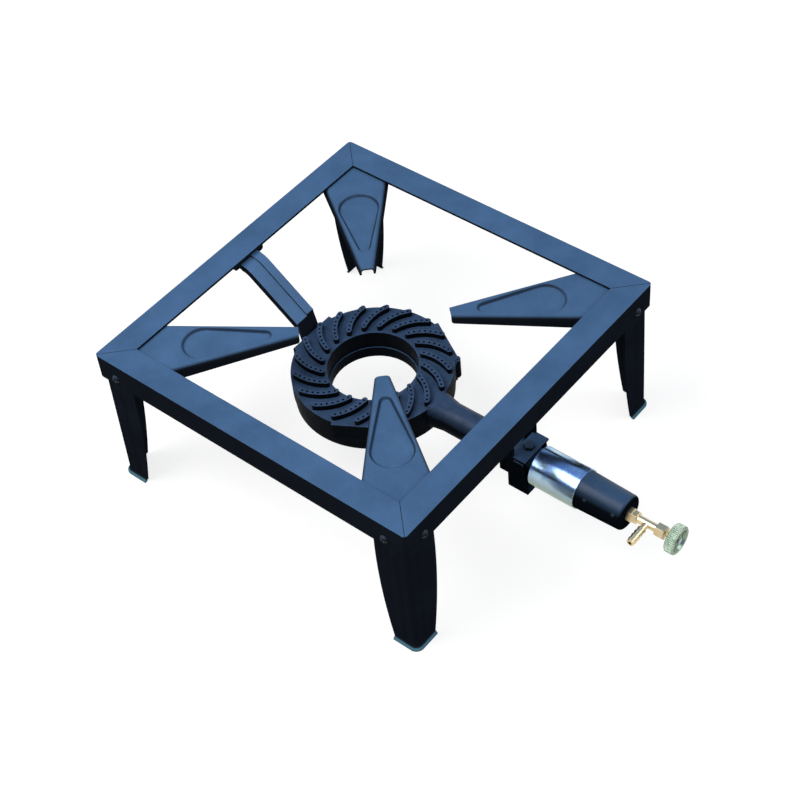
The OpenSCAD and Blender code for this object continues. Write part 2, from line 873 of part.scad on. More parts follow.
// Tee under the rail, whose tongue closes the end between the strap's flanges
module tee_plate() {
    translate([0, tee_y, under_flange]) rotate([-90, 0, 0]) linear_extrude(strap_t) {
        for (s = [-1, 1]) translate([s * (tee_w / 2 - tee_r), tee_h - tee_r]) circle(r = tee_r);
        translate([-tee_w / 2, 0]) square([tee_w, tee_h - tee_r]);
        translate([-tee_w / 2 + tee_r, 0]) square([tee_w - 2 * tee_r, tee_h]);
        translate([-strap_w / 2, 0]) square([strap_w, tongue_h]);
    }
}

module support_strap() {
    color(iron_blue) placed() difference() {
        union() {
            strap_run();
            strap_head();
            strap_tab();
            tee_plate();
            translate([-strap_w / 2, tee_y, under_flange - strap_t])
                cube([strap_w, strap_foot, strap_t]);
        }
        translate([0, pad_y - cut, strap_bolt_z]) rotate([-90, 0, 0])
            cylinder(r = strap_hole_r, h = strap_t + 2 * cut);
    }
}

module strap_bolt() {
    color(casting_black) placed() translate([0, pad_y + strap_t, strap_bolt_z]) rotate([-90, 0, 0])
        hex_bolt(strap_bolt_r, strap_bolt_af, strap_bolt_head_t, strap_bolt_len);
}

// Mixer

// The two air windows as wedges about the axis
module air_windows() {
    reach = 2 * seat_r;
    on_axis(window_start) for (a = window_turns)
        rotate(a) linear_extrude(window_len) polygon([
            [0, 0], reach * [cos(window_arc / 2), -sin(window_arc / 2)],
            reach * [cos(window_arc / 2), sin(window_arc / 2)]
        ]);
}

// The tube's outer radius at a place on its tapered front end
function taper_r(place) = seat_r - (seat_r - tube_r) * (place - collar_end) / (tube_len - end_round);

// Straight under the shutter, then tapered to a rounded front end
module tube_body() {
    straight = collar_end - mixer_start;
    len = straight + tube_len;
    on_axis(mixer_start) rotate_extrude() {
        polygon([
            [0, 0], [seat_r, 0], [seat_r, straight], [tube_r, len - end_round], [0, len - end_round]
        ]);
        square([tube_r - end_round, len]);
        translate([tube_r - end_round, len - end_round]) intersection() {
            circle(r = end_round);
            square(end_round);
        }
    }
}

module mixer_tube() {
    color(casting_black) placed() difference() {
        tube_body();
        on_axis(mixer_start - cut) cylinder(r = neck_r + fit_gap, h = neck_end - mixer_start + cut);
        on_axis(neck_end - cut) cylinder(r = mixer_bore_r, h = tube_end - end_wall - neck_end + cut);
        on_axis(tube_end - end_wall - cut) cylinder(r = stem_hole_r, h = end_wall + 2 * cut);
        air_windows();
        for (place = tube_screw_places)
            on_axis(place) rotate(tube_screw_turn) rotate([0, 90, 0])
                cylinder(r = tube_screw_r + thread_gap, h = 2 * seat_r);
    }
}

module tube_screws() {
    color(casting_black) placed() for (place = tube_screw_places)
        on_axis(place) rotate(tube_screw_turn) rotate([0, 90, 0])
            translate([0, 0, taper_r(place) - tube_screw_inset]) difference() {
                translate([0, 0, -tube_screw_len]) cylinder(r = tube_screw_r, h = tube_screw_len);
                cube([3 * tube_screw_r, tube_slot_w, 2 * tube_slot_w], center = true);
            }
}

module air_shutter() {
    color(chrome) placed() difference() {
        on_axis(shutter_start) cylinder(r = shutter_bore_r + shutter_t, h = shutter_len, $fn = 96);
        on_axis(shutter_start - cut) cylinder(r = shutter_bore_r, h = shutter_len + 2 * cut, $fn = 96);
        air_windows();
        on_axis(shutter_start - cut) rotate(slit_turn) translate([0, -slit_w / 2, 0])
            cube([2 * seat_r, slit_w, shutter_len + 2 * cut]);
    }
}

// Valve

module gas_jet() {
    color(brass) placed() difference() {
        on_axis(jet_start) {
            cylinder(r1 = jet_tip_r, r2 = jet_root_r, h = jet_cone_len);
            translate([0, 0, jet_cone_len]) hex_prism(jet_af, jet_hex_len);
            translate([0, 0, jet_cone_len]) cylinder(r = jet_spigot_r, h = jet_hex_len + jet_spigot_len);
        }
        on_axis(jet_start - cut) cylinder(r = jet_orifice_r, h = jet_cone_len + 2 * cut);
        on_axis(jet_start + jet_cone_len) cylinder(r = jet_feed_r, h = jet_hex_len + jet_spigot_len + cut);
    }
}

module jam_nut() {
    color(brass) placed() difference() {
        on_axis(tube_end) hex_prism(jam_af, jam_t);
        on_axis(tube_end - cut) cylinder(r = stem_r + thread_gap, h = jam_t + 2 * cut);
    }
}

// Hose barb along -X from the valve's axis, as cones that end in short lands
module hose_barb() {
    on_axis(barb_place) rotate([0, -90, 0]) {
        cylinder(r = barb_neck_r, h = barb_reach);
        for (i = [1 : barb_count]) translate([0, 0, barb_reach - i * barb_pitch]) {
            cylinder(r = barb_r, h = barb_land);
            translate([0, 0, barb_land])
                cylinder(r1 = barb_r, r2 = barb_root_r, h = barb_pitch - barb_land);
        }
    }
}

module valve_body() {
    color(brass) placed() difference() {
        union() {
            on_axis(stem_start) cylinder(r = stem_r, h = hex_start - stem_start + cut);
            on_axis(hex_start) hex_prism(hex_af, hex_t);
            on_axis(barrel_start - cut) cylinder(r = barrel_r, h = barrel_len + barrel_in + cut);
            hose_barb();
        }
        on_axis(stem_start - cut) cylinder(r = jet_spigot_r + thread_gap, h = jet_spigot_len + 2 * cut);
        on_axis(stem_start) cylinder(r = passage_r, h = seat_place - seat_len - stem_start);
        on_axis(stem_start) cylinder(r = seat_hole_r, h = seat_place - stem_start + cut);
        on_axis(seat_place) cylinder(r = chamber_r, h = barrel_len + barrel_in);
        on_axis(barb_place) rotate([0, -90, 0]) cylinder(r = barb_bore_r, h = barb_reach + cut);
    }
}

module packing_ring() {
    color(ring_white) placed() difference() {
        on_axis(gland_start + barrel_in + fit_gap) cylinder(r = barrel_r, h = packing_t);
        on_axis(gland_start + barrel_in - cut) cylinder(r = spindle_r + run_gap, h = packing_t + 2 * cut);
    }
}

module packing_nut() {
    color(brass) placed() difference() {
        on_axis(gland_start) hex_prism(gland_af, gland_len);
        on_axis(gland_start - cut) cylinder(r = gland_bore_r, h = gland_len - gland_front_t + cut);
        on_axis(gland_start) cylinder(r = spindle_r + run_gap, h = gland_len + cut);
    }
}

module valve_spindle() {
    start = seat_place + needle_gap;
    color(brass) placed() difference() {
        union() {
            on_axis(start) cylinder(r1 = needle_tip_r, r2 = spindle_r, h = needle_len);
            on_axis(start + needle_len)
                cylinder(r = spindle_r, h = knob_back + spindle_in - start - needle_len);
        }
        on_axis(knob_back + spindle_in - knob_screw_len)
            cylinder(r = knob_screw_hole_r, h = knob_screw_len + cut);
    }
}

// Section of the knob without its grooves: its back lies on the X axis
module knob_section() {
    difference() {
        polygon([
            [0, 0], [knob_r - knob_chamfer, 0], [knob_r, knob_chamfer], [knob_r, knob_t - knob_chamfer],
            [knob_r - knob_chamfer, knob_t], [knob_dish_r, knob_t],
            [knob_dish_r - knob_dish / 2, knob_t - knob_dish], [knob_crown_r, knob_t - knob_dish],
            [knob_crown_r, knob_face], [0, knob_face]
        ]);
        translate([knob_hub_r, -cut]) square([knob_dish_r - knob_hub_r, knob_hub_len + cut]);
    }
}

module knob() {
    color(knob_silver) placed() on_axis(knob_back) difference() {
        rotate_extrude($fn = 96) knob_section();
        for (i = [0 : knurl_count - 1]) rotate(360 / knurl_count * i)
            translate([knob_r, 0, -cut]) cylinder(r = knurl_r, h = knob_t + 2 * cut, $fn = 16);
        translate([0, 0, -cut]) cylinder(r = spindle_r + run_gap, h = spindle_in + run_gap + cut);
        cylinder(r = knob_screw_r + thread_gap, h = knob_t);
    }
}

module knob_screw() {
    color(bolt_zinc) placed() on_axis(knob_back + knob_face) difference() {
        union() {
            cylinder(r = knob_screw_head_r, h = knob_screw_head_t);
            translate([0, 0, -knob_screw_len])
                cylinder(r = knob_screw_r, h = knob_screw_len + knob_screw_head_t / 2);
        }
        translate([0, 0, knob_screw_head_t])
            cube([3 * knob_screw_head_r, knob_slot_w, 2 * knob_slot_deep], center = true);
    }
}

rail_front();
rail_right();
rail_back();
rail_left();
leg_front_left();
leg_front_right();
leg_back_right();
leg_back_left();
pan_support_front_left();
pan_support_front_right();
pan_support_back_right();
pan_support_back_left();
leg_bolts();
leg_nuts();
burner_body();
burner_base();
base_screws();
neck_stirrup();
stirrup_bolt();
support_strap();
strap_bolt();
mixer_tube();
tube_screws();
air_shutter();
gas_jet();
jam_nut();
valve_body();
packing_ring();
packing_nut();
valve_spindle();
knob();
knob_screw();
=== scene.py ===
# %% [markdown]
# # A stock pot range
#
# A stock pot range is a low, square gas ring for one very large pot. Its frame is angle iron with
# satin black-blue paint, its burner is an iron casting, and its air mixer has a chrome sleeve and a
# brass needle valve. The CAD model already holds every piece at its true size, so this script never
# moves one of them. It gives each piece the surface that the real one has, adds the small forms
# that only the eye asks for, and sets up the light and the camera.

import math

import bpy
import numpy as np
from mathutils import Matrix, Vector


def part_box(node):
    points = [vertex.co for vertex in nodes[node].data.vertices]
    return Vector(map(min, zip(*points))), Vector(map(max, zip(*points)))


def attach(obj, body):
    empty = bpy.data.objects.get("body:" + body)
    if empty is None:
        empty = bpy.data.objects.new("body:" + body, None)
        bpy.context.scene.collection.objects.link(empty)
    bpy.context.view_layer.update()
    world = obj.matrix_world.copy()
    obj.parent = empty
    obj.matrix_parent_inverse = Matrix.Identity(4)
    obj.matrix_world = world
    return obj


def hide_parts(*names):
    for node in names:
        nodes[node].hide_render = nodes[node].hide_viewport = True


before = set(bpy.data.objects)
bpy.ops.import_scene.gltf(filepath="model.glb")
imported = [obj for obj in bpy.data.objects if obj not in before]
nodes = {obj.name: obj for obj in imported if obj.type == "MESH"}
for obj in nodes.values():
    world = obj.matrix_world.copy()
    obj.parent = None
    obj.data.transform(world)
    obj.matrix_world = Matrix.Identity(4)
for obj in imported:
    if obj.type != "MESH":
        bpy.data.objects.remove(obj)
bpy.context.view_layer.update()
print("pieces in the packed range:", len(nodes))

# %% [markdown]
# ## The camera
#
# A photograph fixes the camera: where it stood, how it was turned, and how long its lens was. The
# range was photographed from above its front left corner with a long lens, and the camera was held
# a little askew, which is why the frame's near corner leans. The camera is built from these four
# facts: the point it looks at, the direction back to it, its distance and its roll.

# %% Set the camera
LOOK_AT = Vector((-0.0712, -0.00838, 0.180))
AZIMUTH, ELEVATION, ROLL = (math.radians(a) for a in (-46.566, 47.503, -6.203))
CAMERA_DISTANCE = 1.713
LENS_MM = 80.109


def camera_matrix():
    """Camera axes: 'back' points from the object to the camera, 'right' is level, 'up' is at right
    angles to both, and right and up are then turned about 'back' by the roll."""
    back = Vector((math.sin(AZIMUTH) * math.cos(ELEVATION),
                   -math.cos(AZIMUTH) * math.cos(ELEVATION), math.sin(ELEVATION)))
    right = Vector((0, 0, 1)).cross(back).normalized()
    up = back.cross(right)
    turned_right = right * math.cos(ROLL) + up * math.sin(ROLL)
    turned_up = up * math.cos(ROLL) - right * math.sin(ROLL)
    axes = Matrix((turned_right, turned_up, back)).transposed().to_4x4()
    axes.translation = LOOK_AT + back * CAMERA_DISTANCE
    return axes


camera = bpy.data.objects.new("camera", bpy.data.cameras.new("camera"))
bpy.context.scene.collection.objects.link(camera)
camera.matrix_world = camera_matrix()
camera.data.lens = LENS_MM
camera.data.sensor_width = 36.0
camera.data.clip_start, camera.data.clip_end = 0.05, 60.0
bpy.context.scene.camera = camera
print("camera stands at", [round(v, 3) for v in camera.matrix_world.translation])

# %% [markdown]
# ## Small helpers for shader nodes
#
# A material in Blender is a graph of nodes. A few helpers keep the recipes below short: they add a
# node with its settings and inputs, mix two colours, do arithmetic, stretch a range of values, and
# open a node group with named inputs and outputs. Built from these, each effect, such as paint or
# cast skin, is made once and then placed in every material that needs it.


# %% Add one node
def add(tree, kind, settings=None, inputs=None):
    """Adds a node; an input that is itself a socket is linked, and any other value is set."""
    made = tree.nodes.new("ShaderNode" + kind)
    for name, value in (settings or {}).items():
        setattr(made, name, value)
    for name, value in (inputs or {}).items():
        socket = made.inputs[name]
        if isinstance(value, bpy.types.NodeSocket):
            tree.links.new(value, socket)
        else:
            socket.default_value = value
    return made


def colour(red, green, blue):
    """A colour in linear light with full cover."""
    return (red, green, blue, 1.0)


def mix_colours(tree, share, first, second, way="MIX"):
    """first where share is 0, second where share is 1."""
    made = add(tree, "Mix", {"data_type": "RGBA", "blend_type": way}, {0: share, 6: first, 7: second})
    return made.outputs[2]


def arithmetic(tree, sign, first, second=0.0):
    """first and second joined by one sign of arithmetic."""
    made = add(tree, "Math", {"operation": sign}, {0: first, 1: second})
    return made.outputs[0]


def stretch(tree, value, low, high, new_low=0.0, new_high=1.0):
    """Maps low..high onto new_low..new_high and stops at both ends."""
    made = add(tree, "MapRange", {"clamp": True}, {"Value": value, "From Min": low, "From Max": high,
                                                   "To Min": new_low, "To Max": new_high})
    return made.outputs[0]


# %% Open a node group
def open_group(name, inputs, outputs):
    """An empty shader group; inputs is {name: default} and outputs is {name: socket kind}."""
    tree = bpy.data.node_groups.new(name, "ShaderNodeTree")
    for label, value in inputs.items():
        kind = "NodeSocketColor" if isinstance(value, tuple) else "NodeSocketFloat"
        tree.interface.new_socket(name=label, in_out="INPUT", socket_type=kind).default_value = value
    for label, kind in outputs.items():
        tree.interface.new_socket(name=label, in_out="OUTPUT", socket_type="NodeSocket" + kind)
    return tree, tree.nodes.new("NodeGroupInput"), tree.nodes.new("NodeGroupOutput")


def place_group(tree, group, inputs):
    """The group as a node in a material's tree, with this material's own values."""
    made = tree.nodes.new("ShaderNodeGroup")
    made.node_tree = group
    for name, value in inputs.items():
        made.inputs[name].default_value = value
    return made.outputs


# %% [markdown]
# ## Effects that several surfaces share
#
# Sprayed paint isn't flat: it has a fine orange peel, cloudy patches that shine a little less, and
# a few specks. Sheet and bar also lose their sharp edges under paint, and the edges catch light;
# their colour is lightened too, partly as worn paint and partly as a painted highlight. Faces that
# look up get a lighter steel blue, which is painted light from above, while upright faces stay
# nearly black, so one effect tells how far a face looks up.


# %% Effect: sprayed paint
def make_sprayed_paint():
    """Shade = slow clouds and fine grain about 1; Gloss loss = clouds; Height = orange peel."""
    tree, given, out = open_group("Sprayed paint", {"Cloud size": 30.0, "Peel size": 620.0},
                                  {"Shade": "Float", "Gloss loss": "Float", "Height": "Float"})
    where = add(tree, "TexCoord").outputs["Object"]
    clouds = add(tree, "TexNoise", inputs={"Vector": where, "Scale": given.outputs["Cloud size"],
                                           "Detail": 4.0, "Roughness": 0.6}).outputs[0]
    peel = add(tree, "TexNoise", inputs={"Vector": where, "Scale": given.outputs["Peel size"],
                                         "Detail": 3.0, "Roughness": 0.55}).outputs[0]
    grain = stretch(tree, peel, 0.3, 0.7, 0.94, 1.06)
    shade = arithmetic(tree, "MULTIPLY", stretch(tree, clouds, 0.3, 0.7, 0.86, 1.12), grain)
    tree.links.new(shade, out.inputs["Shade"])
    tree.links.new(stretch(tree, clouds, 0.35, 0.75, 0.0, 1.0), out.inputs["Gloss loss"])
    tree.links.new(peel, out.inputs["Height"])
    return tree


sprayed_paint = make_sprayed_paint()
print("made the effect", sprayed_paint.name)


# %% Effect: rounded and rubbed edges
def make_soft_edges():
    """Normal = the face's normal rounded near edges; Rub and highlight = how far that rounding turned
    it, which is 1 at an edge and 0 on a flat face, broken up by noise; it marks where edges take worn
    paint and a painted highlight."""
    tree, given, out = open_group("Soft edges", {"Radius": 0.0008, "Patchiness": 90.0},
                                  {"Normal": "Vector", "Rub and highlight": "Float"})
    rounded = add(tree, "Bevel", {"samples": 6}, {"Radius": given.outputs["Radius"]}).outputs[0]
    flat = add(tree, "NewGeometry").outputs["Normal"]
    same = add(tree, "VectorMath", {"operation": "DOT_PRODUCT"}, {0: rounded, 1: flat}).outputs["Value"]
    turned = stretch(tree, same, 0.995, 0.86)
    where = add(tree, "TexCoord").outputs["Object"]
    patches = add(tree, "TexNoise", inputs={"Vector": where, "Scale": given.outputs["Patchiness"],
                                            "Detail": 4.0}).outputs[0]
    rub = arithmetic(tree, "MULTIPLY", turned, stretch(tree, patches, 0.35, 0.62, 0.25, 1.0))
    tree.links.new(rounded, out.inputs["Normal"])
    tree.links.new(rub, out.inputs["Rub and highlight"])
    return tree


soft_edges = make_soft_edges()
print("made the effect", soft_edges.name)


# %% Effect: faces that look up
def make_looks_up():
    """Up = 0 on upright faces and those that look down, 1 on faces that look straight up."""
    tree, given, out = open_group("Looks up", {"From": 0.25, "To": 0.92}, {"Up": "Float"})
    normal = add(tree, "NewGeometry").outputs["Normal"]
    height = add(tree, "SeparateXYZ", inputs={0: normal}).outputs["Z"]
    tree.links.new(stretch(tree, height, given.outputs["From"], given.outputs["To"]), out.inputs["Up"])
    return tree


looks_up = make_looks_up()
print("made the effect", looks_up.name)


# %% Effect: sand-cast skin
def make_cast_skin():
    """Height = coarse sand grain plus slow waves; Shade = the same grain as a change of tone."""
    tree, given, out = open_group("Cast skin", {"Grain": 900.0, "Waves": 120.0},
                                  {"Shade": "Float", "Height": "Float"})
    where = add(tree, "TexCoord").outputs["Object"]
    grain = add(tree, "TexVoronoi", {"feature": "SMOOTH_F1"},
                {"Vector": where, "Scale": given.outputs["Grain"], "Smoothness": 0.7}).outputs[0]
    waves = add(tree, "TexNoise", inputs={"Vector": where, "Scale": given.outputs["Waves"],
                                          "Detail": 5.0, "Roughness": 0.65}).outputs[0]
    height = arithmetic(tree, "ADD", arithmetic(tree, "MULTIPLY", grain, 0.5), waves)
    tree.links.new(height, out.inputs["Height"])
    tree.links.new(stretch(tree, waves, 0.3, 0.7, 0.75, 1.2), out.inputs["Shade"])
    return tree


cast_skin = make_cast_skin()
print("made the effect", cast_skin.name)


# %% Effect: turned and brushed metal
def make_tool_marks():
    """Height = noise squeezed along the burner's axis, so that it draws rings round a turned piece;
    Smudge = slow clouds, as left by fingers."""
    tree, given, out = open_group("Tool marks", {"Rings": 2600.0, "Round": 40.0, "Smudges": 60.0},
                                  {"Height": "Float", "Smudge": "Float"})
    where = add(tree, "TexCoord").outputs["Object"]
    size = add(tree, "CombineXYZ", inputs={"X": given.outputs["Round"], "Y": given.outputs["Rings"],
                                           "Z": given.outputs["Round"]}).outputs[0]
    squeezed = add(tree, "VectorMath", {"operation": "MULTIPLY"}, {0: where, 1: size}).outputs[0]
    rings = add(tree, "TexNoise", inputs={"Vector": squeezed, "Scale": 1.0, "Detail": 2.0}).outputs[0]
    smudge = add(tree, "TexNoise", inputs={"Vector": where, "Scale": given.outputs["Smudges"],
                                           "Detail": 3.0}).outputs[0]
    tree.links.new(rings, out.inputs["Height"])
    tree.links.new(stretch(tree, smudge, 0.35, 0.7), out.inputs["Smudge"])
    return tree


tool_marks = make_tool_marks()
print("made the effect", tool_marks.name)


# %% [markdown]
# ## One shader at the end of every material
#
# Every finish ends in one Principled BSDF. Roughness, colour and normal vary over the surface and
# so are linked, while numbers that are the same all over, such as the specular level, are set on
# the shader itself.


# %% Start and finish a material
def start_material(name):
    """A new material with an empty tree."""
    made = bpy.data.materials.new(name)
    made.use_nodes = True
    made.node_tree.nodes.clear()
    return made, made.node_tree


def end_material(tree, linked, fixed):
    """The Principled BSDF, with its linked sockets and its fixed numbers, joined to the output."""
    shader = add(tree, "BsdfPrincipled", inputs={**linked, **fixed})
    out = tree.nodes.new("ShaderNodeOutputMaterial")
    tree.links.new(shader.outputs[0], out.inputs["Surface"])


def bumped(tree, height, depth, normal=None):
    """Bump of that depth in metres, over a normal that may be rounded already."""
    inputs = {"Height": height, "Distance": depth, "Strength": 1.0}
    if normal is not None:
        inputs["Normal"] = normal
    return add(tree, "Bump", inputs=inputs).outputs[0]


# %% [markdown]
# ## The painted sheet and angle iron
#
# The frame, legs and pan supports share one paint. It is nearly black on upright faces, and faces
# that look up get a steel blue that is painted light from above. The flared lips that the legs stand
# on look paler, so the legs' paint gives way to a paler blue in the last four millimetres above the
# floor. The mitres of the frame show as fine dark lines.


# %% Paint for the frame
FRAME_MIDDLE_Y = sum(corner[1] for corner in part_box("rail_left")) / 2
LIP_TOP, LIP_FULL = 0.0038, 0.0030
SEAM_EDGE, SEAM_CORE, SEAM_DEPTH = 0.0007, 0.0002, 3.0
PEEL_DEPTH = 0.00006


def seam_distance(tree, where):
    """Distance to the frame's mitres, which run where x and y, counted from the middle of the frame,
    are equal in size."""
    parts = add(tree, "SeparateXYZ", inputs={0: where}).outputs
    from_middle = arithmetic(tree, "SUBTRACT", parts["Y"], FRAME_MIDDLE_Y)
    across = arithmetic(tree, "ABSOLUTE", parts["X"])
    along = arithmetic(tree, "ABSOLUTE", from_middle)
    return arithmetic(tree, "ABSOLUTE", arithmetic(tree, "SUBTRACT", across, along))


def make_paint(name, dark, painted_top_light, rub_and_highlight_colour, edge=0.0009, foot=False, seam=False,
               rough=(0.34, 0.5), up_from=0.3, up_to=0.95, gloss=(0.0, 0.12)):
    """Colour = dark to the painted top light by how far a face looks up, times the paint's shade, with
    the rub colour on edges, partly worn paint and partly a painted highlight; a foot's flared lip is
    paler; a seam is a dark line along the mitres; the shine grows with how far a face looks up."""
    made, tree = start_material(name)
    paint = place_group(tree, sprayed_paint, {"Cloud size": 26.0, "Peel size": 650.0})
    edges = place_group(tree, soft_edges, {"Radius": edge, "Patchiness": 60.0})
    where = add(tree, "TexCoord").outputs["Object"]
    up = place_group(tree, looks_up, {"From": up_from, "To": up_to})["Up"]
    # Painted light: faces that look up take the lighter top colour, upright faces keep the dark paint.
    base = mix_colours(tree, up, dark, painted_top_light)
    base = mix_colours(tree, 1.0, base, paint["Shade"], "MULTIPLY")
    # Edges take the rub colour: partly worn paint, partly a painted highlight.
    base = mix_colours(tree, arithmetic(tree, "MULTIPLY", edges["Rub and highlight"], 0.55), base, rub_and_highlight_colour)
    roughness = stretch(tree, paint["Gloss loss"], 0.0, 1.0, *rough)
    height = paint["Height"]
    if foot:
        above_floor = add(tree, "SeparateXYZ", inputs={0: where}).outputs["Z"]
        base = mix_colours(tree, stretch(tree, above_floor, LIP_TOP, LIP_FULL), base, FOOT_EDGE)
    if seam:
        line = stretch(tree, seam_distance(tree, where), SEAM_EDGE, SEAM_CORE)
        base = mix_colours(tree, arithmetic(tree, "MULTIPLY", line, 0.8), base, dark)
        sunk = arithmetic(tree, "MULTIPLY", line, SEAM_DEPTH)
        height = arithmetic(tree, "SUBTRACT", height, sunk)
    normal = bumped(tree, height, PEEL_DEPTH, edges["Normal"])
    shine = stretch(tree, up, 0.0, 1.0, *gloss)
    end_material(tree, {"Base Color": base, "Roughness": roughness, "Normal": normal,
                        "Specular IOR Level": shine}, {})
    return made


# The second colour of each paint below is painted light on faces that look up; the first is the paint's
# own dark colour.
PAINTED_TOP_BLUE = colour(0.058, 0.130, 0.262)
BLUE_BLACK = colour(0.0105, 0.0138, 0.0200)
RUB_AND_EDGE_HIGHLIGHT = colour(0.085, 0.16, 0.26)
FOOT_EDGE = colour(0.085, 0.20, 0.27)
rail_paint = make_paint("rail_paint", BLUE_BLACK, PAINTED_TOP_BLUE, RUB_AND_EDGE_HIGHLIGHT, seam=True)
leg_paint = make_paint("leg_paint", BLUE_BLACK, PAINTED_TOP_BLUE, colour(0.03, 0.05, 0.08), foot=True,
                       up_from=0.7)
support_paint = make_paint("support_paint", BLUE_BLACK, colour(0.060, 0.133, 0.265),
                           colour(0.11, 0.20, 0.31), edge=0.0012, up_from=0.5, up_to=0.96)
strap_paint = make_paint("strap_paint", BLUE_BLACK, colour(0.078, 0.168, 0.330),
                         colour(0.11, 0.20, 0.31), edge=0.0012, up_to=0.79)
black_iron = make_paint("black_iron", colour(0.004, 0.006, 0.009), colour(0.035, 0.075, 0.150),
                        colour(0.03, 0.05, 0.08), rough=(0.24, 0.38), up_from=0.45, gloss=(0.0, 0.2))
bolt_black = make_paint("bolt_black", colour(0.005, 0.008, 0.012), colour(0.03, 0.055, 0.10),
                        colour(0.10, 0.16, 0.24), edge=0.0005, rough=(0.26, 0.38), gloss=(0.08, 0.3))
print("paints:", rail_paint.name, leg_paint.name, support_paint.name, black_iron.name)


# %% [markdown]
# ## The burner casting
#
# The burner is poured iron with a thin coat of the same dark blue. Its skin shows the sand, which
# a smooth Voronoi cell makes, and the heat has dulled it, so it is rougher than the sheet.


# %% Cast iron
SAND_DEPTH = 0.00022


def make_cast_iron():
    """Colour = dark to a painted lit blue by how far a face looks up, times the sand's shade; bump =
    the sand.
    """
    made, tree = start_material("cast_iron")
    sand = place_group(tree, cast_skin, {"Grain": 800.0, "Waves": 110.0})
    edges = place_group(tree, soft_edges, {"Radius": 0.0009, "Patchiness": 110.0})
    up = place_group(tree, looks_up, {"From": 0.35, "To": 0.97})["Up"]
    # Painted light: faces that look up turn from near black to a lit blue.
    base = mix_colours(tree, up, colour(0.0035, 0.0055, 0.0085), colour(0.034, 0.070, 0.145))
    base = mix_colours(tree, 1.0, base, sand["Shade"], "MULTIPLY")
    # Edges take a lighter blue: partly worn coat, partly a painted highlight.
    base = mix_colours(tree, arithmetic(tree, "MULTIPLY", edges["Rub and highlight"], 0.4), base,
                       colour(0.065, 0.12, 0.21))
    roughness = stretch(tree, sand["Shade"], 0.75, 1.2, 0.5, 0.36)
    normal = bumped(tree, sand["Height"], SAND_DEPTH, edges["Normal"])
    shine = stretch(tree, up, 0.0, 1.0, 0.01, 0.24)
    end_material(tree, {"Base Color": base, "Roughness": roughness, "Normal": normal,
                        "Specular IOR Level": shine}, {})
    return made


cast_iron = make_cast_iron()
print("made", cast_iron.name)


# %% [markdown]
# ## Bare and plated metal
#
# Chrome sheet, brass and zinc are metals, so Metallic is 1 and the base colour is the colour of
# their reflection. What tells them apart is how sharp that reflection is and which marks the tool
# left: close rings from the lathe on the brass, and wider, fainter ones on the chrome sleeve. The
# chrome's blue tones and the olive on its faces that look down are painted reflections.


# %% Turned and plated metals
METAL_EDGE = 0.0004


def make_metal(name, bright, smudged_and_reflected, rough, marks=0.00001, rings=2600.0, rubbed=None, under=None):
    """Colour = bright to the second tone by the smudges, or the under colour where a face looks
    down; on chrome all three are painted reflections; roughness rises with the smudges; bump = tool
    marks."""
    made, tree = start_material(name)
    tool = place_group(tree, tool_marks, {"Rings": rings, "Round": 40.0, "Smudges": 70.0})
    edges = place_group(tree, soft_edges, {"Radius": METAL_EDGE, "Patchiness": 150.0})
    base = mix_colours(tree, tool["Smudge"], bright, smudged_and_reflected)
    if under:
        # Painted reflection: faces that look down take the under colour.
        up = place_group(tree, looks_up, {"From": -0.1, "To": 0.7})["Up"]
        base = mix_colours(tree, up, under, base)
    # Edges go lighter, to the rubbed colour where one is given and else to the bright one: partly wear,
    # partly a painted highlight.
    base = mix_colours(tree, arithmetic(tree, "MULTIPLY", edges["Rub and highlight"], 0.6), base, rubbed or bright)
    roughness = stretch(tree, tool["Smudge"], 0.0, 1.0, *rough)
    normal = bumped(tree, tool["Height"], marks, edges["Normal"])
    end_material(tree, {"Base Color": base, "Roughness": roughness, "Normal": normal},
                 {"Metallic": 1.0})
    return made


# The chrome's blue bright and smudged tones and its olive under colour are painted reflections.
chrome = make_metal("chrome_sheet", colour(0.60, 0.84, 1.0), colour(0.24, 0.42, 0.86),
                    (0.17, 0.27), marks=0.000006, rings=900.0, under=colour(0.40, 0.50, 0.44))
brass = make_metal("brass", colour(0.95, 0.79, 0.47), colour(0.84, 0.64, 0.35), (0.26, 0.40),
                   marks=0.000004)
zinc = make_metal("zinc", colour(0.62, 0.64, 0.65), colour(0.48, 0.50, 0.50), (0.28, 0.42))
knob_metal = make_metal("knob_metal", colour(0.42, 0.50, 0.38), colour(0.20, 0.27, 0.18),
                        (0.22, 0.36), marks=0.000004, rubbed=colour(0.62, 0.68, 0.58))
print("metals:", chrome.name, brass.name, zinc.name, knob_metal.name)


# %% White packing
PACKING_DEPTH = 0.00005


def make_packing():
    """White fluoropolymer: soft, waxy and a little stained."""
    made, tree = start_material("white_packing")
    paint = place_group(tree, sprayed_paint, {"Cloud size": 200.0, "Peel size": 1500.0})
    base = mix_colours(tree, paint["Gloss loss"], colour(0.80, 0.79, 0.75), colour(0.66, 0.63, 0.56))
    normal = bumped(tree, paint["Height"], PACKING_DEPTH)
    end_material(tree, {"Base Color": base, "Normal": normal}, {"Roughness": 0.5})
    return made


packing = make_packing()
print("made", packing.name)

# %% [markdown]
# ## Every CAD piece gets its finish
#
# The finish goes into the piece's own material slot. A table of finishes and the pieces that wear
# them is easier to read, and to change, than thirty separate lines.

